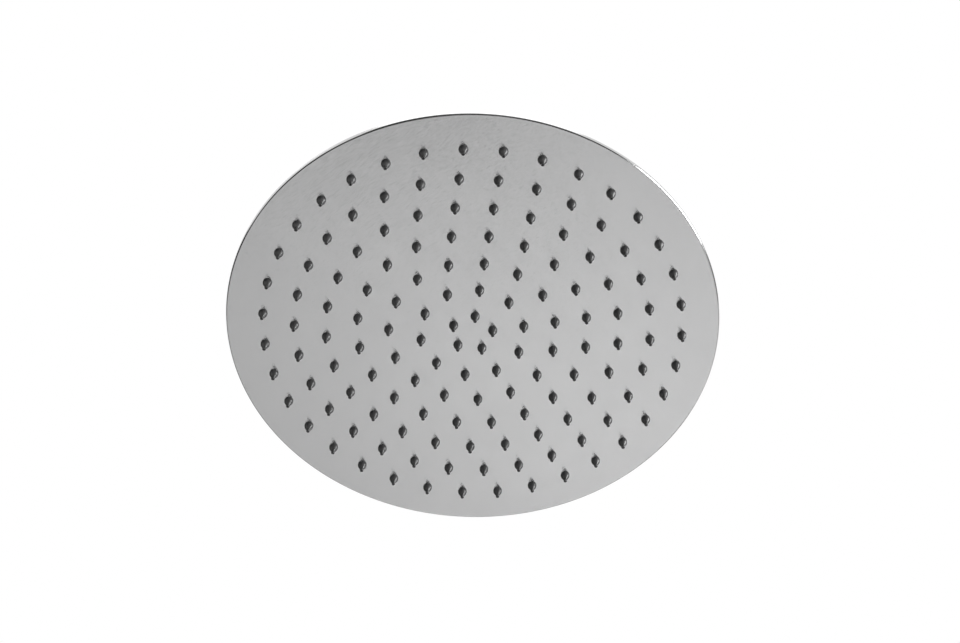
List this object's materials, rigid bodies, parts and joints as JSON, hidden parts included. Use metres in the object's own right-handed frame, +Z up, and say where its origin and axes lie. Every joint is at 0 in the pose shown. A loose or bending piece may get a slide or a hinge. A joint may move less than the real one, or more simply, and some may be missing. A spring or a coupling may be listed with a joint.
{
  "type": "rain shower head",
  "caption": "Slim round overhead shower head in stainless steel with rings of silicone nozzles, on a swivel ball joint with a female pipe-thread inlet.",
  "frame": {"origin": "middle of the inlet thread's mouth", "axes": "+Z up along the inlet, towards the supply pipe; the spray goes down -Z; the picture looks along +Y from below"},
  "size_m": [0.25, 0.25, 0.0585],
  "materials": {
    "satin_steel": "satin-polished stainless sheet",
    "silicone": "moulded dark grey silicone",
    "plated_brass": "polished chromium plate on brass",
    "acetal": "natural white acetal",
    "seal_rubber": "black rubber",
    "screen_steel": "punched stainless sheet"
  },
  "bodies": {
    "inlet": {"ball_stem": "plated_brass", "filter_screen": "screen_steel", "inlet_washer": "seal_rubber"},
    "seat": {"ball_seat": "acetal"},
    "head": {"face_plate": "satin_steel", "back_plate": "satin_steel", "nozzles_ring_1": "silicone", "nozzles_ring_2": "silicone", "nozzles_ring_3": "silicone", "nozzles_ring_4": "silicone", "nozzles_ring_5": "silicone", "nozzles_ring_6": "silicone", "nozzles_ring_7": "silicone", "hub": "plated_brass", "retaining_nut": "plated_brass", "seal_carrier": "acetal", "ball_seal": "seal_rubber"}
  },
  "joints": [
    {"name": "spin", "type": "hinge", "parent": "inlet", "child": "seat", "pos_m": [0, 0, -0.02861], "axis": [0, 0, 1], "continuous": true},
    {"name": "tilt", "type": "hinge", "parent": "seat", "child": "head", "pos_m": [0, 0, -0.02861], "axis": [1, 0, 0], "range_deg": [-15, 15]}
  ]
}
